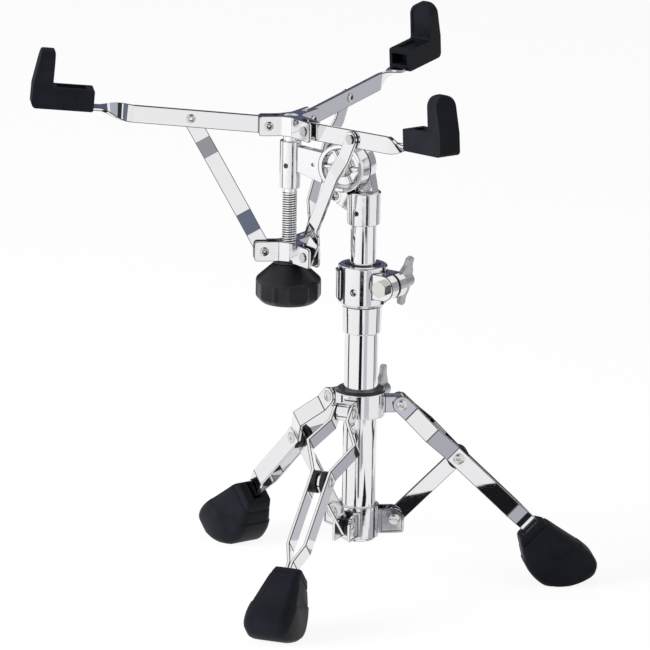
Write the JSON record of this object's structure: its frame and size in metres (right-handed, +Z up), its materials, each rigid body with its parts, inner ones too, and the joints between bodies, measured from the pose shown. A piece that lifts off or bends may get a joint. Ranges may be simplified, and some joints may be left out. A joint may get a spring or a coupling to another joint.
{
  "type": "snare drum stand",
  "caption": "Folding tripod stand with a height clamp, tilting head and a screw-closed basket of hinged arms with rubber pads that holds a snare drum by its lower rim.",
  "frame": {"origin": "on the floor, on the axis of the base tube", "axes": "+Z up along the base tube; +X to the right of the picture, along the longest extent; +Y away from the camera"},
  "size_m": [0.4825, 0.4062, 0.4624],
  "materials": {
    "tube_chrome": "mirror-bright plated tube",
    "strip_chrome": "bright plated strip",
    "cast_chrome": "bright plated casting",
    "bright_steel": "bright zinc on screws, pins and rivets",
    "wing_cast": "satin cast",
    "rubber": "matt moulded",
    "bumper_rubber": "smooth moulded",
    "knob_plastic": "semi-gloss moulded",
    "nylon": "matt moulded"
  },
  "bodies": {
    "base": {"base_tube": "tube_chrome", "height_clamp": "cast_chrome", "height_clamp_bolt": "bright_steel", "bottom_bracket": "cast_chrome", "bracket_pins": "bright_steel", "bracket_spacers": "nylon"},
    "height_wing_nut": {"height_wing_nut": "wing_cast"},
    "swivel_bush": {"height_bush": "nylon"},
    "upper_post": {"upper_tube": "tube_chrome", "tilter_post": "cast_chrome", "post_roll_pin": "bright_steel", "tilt_bolt": "bright_steel", "tilt_friction_washer": "nylon", "tilter_lug_screw": "bright_steel"},
    "tilt_wing_nut": {"tilt_wing_nut": "wing_cast"},
    "basket_holder": {"basket_holder": "cast_chrome", "holder_roll_pin": "bright_steel", "basket_rod": "bright_steel", "upper_hub": "cast_chrome", "upper_hub_screws": "bright_steel", "upper_hub_washers": "nylon"},
    "lower_hub": {"lower_hub": "cast_chrome", "lower_hub_screws": "bright_steel", "lower_hub_washers": "nylon", "knob_washer": "nylon"},
    "grip_knob": {"grip_knob": "knob_plastic", "knob_nut": "bright_steel"},
    "collar": {"tripod_collar": "cast_chrome", "collar_bush": "nylon"},
    "collar_wing_bolt": {"collar_wing_bolt": "wing_cast"},
    "leg_right": {"leg_right_strip_one": "strip_chrome", "leg_right_strip_two": "strip_chrome", "foot_right": "rubber", "leg_rivets_right": "bright_steel", "brace_bumpers_right": "bumper_rubber"},
    "brace_right": {"leg_brace_right": "strip_chrome"},
    "leg_left": {"leg_left_strip_one": "strip_chrome", "leg_left_strip_two": "strip_chrome", "foot_left": "rubber", "leg_rivets_left": "bright_steel", "brace_bumpers_left": "bumper_rubber"},
    "brace_left": {"leg_brace_left": "strip_chrome"},
    "leg_front": {"leg_front_strip_one": "strip_chrome", "leg_front_strip_two": "strip_chrome", "foot_front": "rubber", "leg_rivets_front": "bright_steel", "brace_bumpers_front": "bumper_rubber"},
    "brace_front": {"leg_brace_front": "strip_chrome"},
    "arm_left": {"basket_arm_left": "strip_chrome", "basket_pad_left": "rubber", "strut_screw_left": "bright_steel"},
    "strut_left": {"basket_strut_left": "strip_chrome"},
    "arm_front": {"basket_arm_front": "strip_chrome", "basket_pad_front": "rubber", "strut_screw_front": "bright_steel"},
    "strut_front": {"basket_strut_front": "strip_chrome"},
    "arm_back": {"basket_arm_back": "strip_chrome", "basket_pad_back": "rubber", "strut_screw_back": "bright_steel"},
    "strut_back": {"basket_strut_back": "strip_chrome"}
  },
  "joints": [
    {"name": "front_brace_fold", "type": "hinge", "parent": "base", "child": "brace_front", "pos_m": [-0.01132, -0.02746, 0.059], "axis": [-0.9245, 0.3811, 0], "range_deg": [0, 35.08]},
    {"name": "front_leg_fold", "type": "hinge", "parent": "brace_front", "child": "leg_front", "pos_m": [-0.0318, -0.07715, 0.11131], "axis": [0.9245, -0.3811, 0], "range_deg": [0, 72.97]},
    {"name": "collar_on_front_leg", "type": "hinge", "parent": "leg_front", "child": "collar", "pos_m": [-0.01298, -0.03148, 0.15919], "axis": [-0.9245, 0.3811, 0], "range_deg": [0, 37.89]},
    {"name": "right_leg_fold", "type": "hinge", "parent": "collar", "child": "leg_right", "pos_m": [0.03375, 0.0045, 0.15919], "axis": [-0.1323, 0.9912, 0], "range_deg": [0, 37.89]},
    {"name": "right_brace_fold", "type": "hinge", "parent": "base", "child": "brace_right", "pos_m": [0.02944, 0.00393, 0.059], "axis": [0.1323, -0.9912, 0], "range_deg": [0, 35.08]},
    {"name": "left_leg_fold", "type": "hinge", "parent": "collar", "child": "leg_left", "pos_m": [-0.02077, 0.02698, 0.15919], "axis": [-0.7923, -0.6101, 0], "range_deg": [0, 37.89]},
    {"name": "left_brace_fold", "type": "hinge", "parent": "base", "child": "brace_left", "pos_m": [-0.01812, 0.02353, 0.059], "axis": [0.7923, 0.6101, 0], "range_deg": [0, 35.08]},
    {"name": "collar_wing_bolt_turn", "type": "hinge", "parent": "collar", "child": "collar_wing_bolt", "pos_m": [0, 0, 0.15919], "axis": [0.3811, 0.9245, 0], "range_deg": [0, 360]},
    {"name": "height_wing_nut_turn", "type": "hinge", "parent": "base", "child": "height_wing_nut", "pos_m": [0.02238, -0.0151, 0.265], "axis": [0.5592, 0.829, 0], "range_deg": [0, 360]},
    {"name": "column_swivel", "type": "hinge", "parent": "base", "child": "swivel_bush", "pos_m": [0, 0, 0.2803], "axis": [0, 0, 1], "range_deg": [-100, 105]},
    {"name": "column_height", "type": "slide", "parent": "swivel_bush", "child": "upper_post", "axis": [0, 0, 1], "range_m": [-0.025, 0.13]},
    {"name": "tilt_wing_nut_turn", "type": "hinge", "parent": "upper_post", "child": "tilt_wing_nut", "pos_m": [-0.01359, 0.00634, 0.3635], "axis": [0.4226, 0.9063, 0], "range_deg": [0, 360]},
    {"name": "basket_tilt", "type": "hinge", "parent": "upper_post", "child": "basket_holder", "pos_m": [-0.01359, 0.00634, 0.3635], "axis": [0.4226, 0.9063, 0], "range_deg": [-4, 60]},
    {"name": "lower_hub_slide", "type": "slide", "parent": "basket_holder", "child": "lower_hub", "axis": [0, 0, 1], "range_m": [0, 0.03064]},
    {"name": "grip_knob_turn", "type": "hinge", "parent": "lower_hub", "child": "grip_knob", "pos_m": [-0.06219, 0.01689, 0.28689], "axis": [0, 0, 1], "range_deg": [0, 5516.43]},
    {"name": "left_arm_lift", "type": "hinge", "parent": "basket_holder", "child": "arm_left", "pos_m": [-0.08106, 0.0147, 0.3948], "axis": [-0.1149, 0.9934, 0], "range_deg": [0, 37.7]},
    {"name": "left_strut_turn", "type": "hinge", "parent": "arm_left", "child": "strut_left", "pos_m": [-0.14585, 0.0072, 0.40085], "axis": [0.1149, -0.9934, 0], "range_deg": [0, 29.3]},
    {"name": "front_arm_lift", "type": "hinge", "parent": "basket_holder", "child": "arm_front", "pos_m": [-0.04684, -0.00472, 0.3948], "axis": [-0.8151, -0.5793, 0], "range_deg": [0, 37.7]},
    {"name": "front_strut_turn", "type": "hinge", "parent": "arm_front", "child": "strut_front", "pos_m": [-0.00906, -0.05788, 0.40085], "axis": [0.8151, 0.5793, 0], "range_deg": [0, 29.3]},
    {"name": "back_arm_lift", "type": "hinge", "parent": "basket_holder", "child": "arm_back", "pos_m": [-0.04831, 0.03946, 0.3948], "axis": [0.8517, -0.524, 0], "range_deg": [0, 37.7]},
    {"name": "back_strut_turn", "type": "hinge", "parent": "arm_back", "child": "strut_back", "pos_m": [-0.01413, 0.09501, 0.40085], "axis": [-0.8517, 0.524, 0], "range_deg": [0, 29.3]}
  ],
  "couplings": [
    {"joint": "front_leg_fold", "follows": "front_brace_fold", "ratio": 2.0801},
    {"joint": "collar_on_front_leg", "follows": "front_brace_fold", "ratio": 1.0801},
    {"joint": "right_leg_fold", "follows": "front_brace_fold", "ratio": 1.0801},
    {"joint": "right_brace_fold", "follows": "front_brace_fold", "ratio": 1},
    {"joint": "left_leg_fold", "follows": "front_brace_fold", "ratio": 1.0801},
    {"joint": "left_brace_fold", "follows": "front_brace_fold", "ratio": 1},
    {"joint": "grip_knob_turn", "follows": "lower_hub_slide", "rad_per_m": 3141.6},
    {"joint": "left_arm_lift", "follows": "lower_hub_slide", "rad_per_m": 21.47},
    {"joint": "left_strut_turn", "follows": "lower_hub_slide", "rad_per_m": 16.688},
    {"joint": "front_arm_lift", "follows": "lower_hub_slide", "rad_per_m": 21.47},
    {"joint": "front_strut_turn", "follows": "lower_hub_slide", "rad_per_m": 16.688},
    {"joint": "back_arm_lift", "follows": "lower_hub_slide", "rad_per_m": 21.47},
    {"joint": "back_strut_turn", "follows": "lower_hub_slide", "rad_per_m": 16.688}
  ]
}
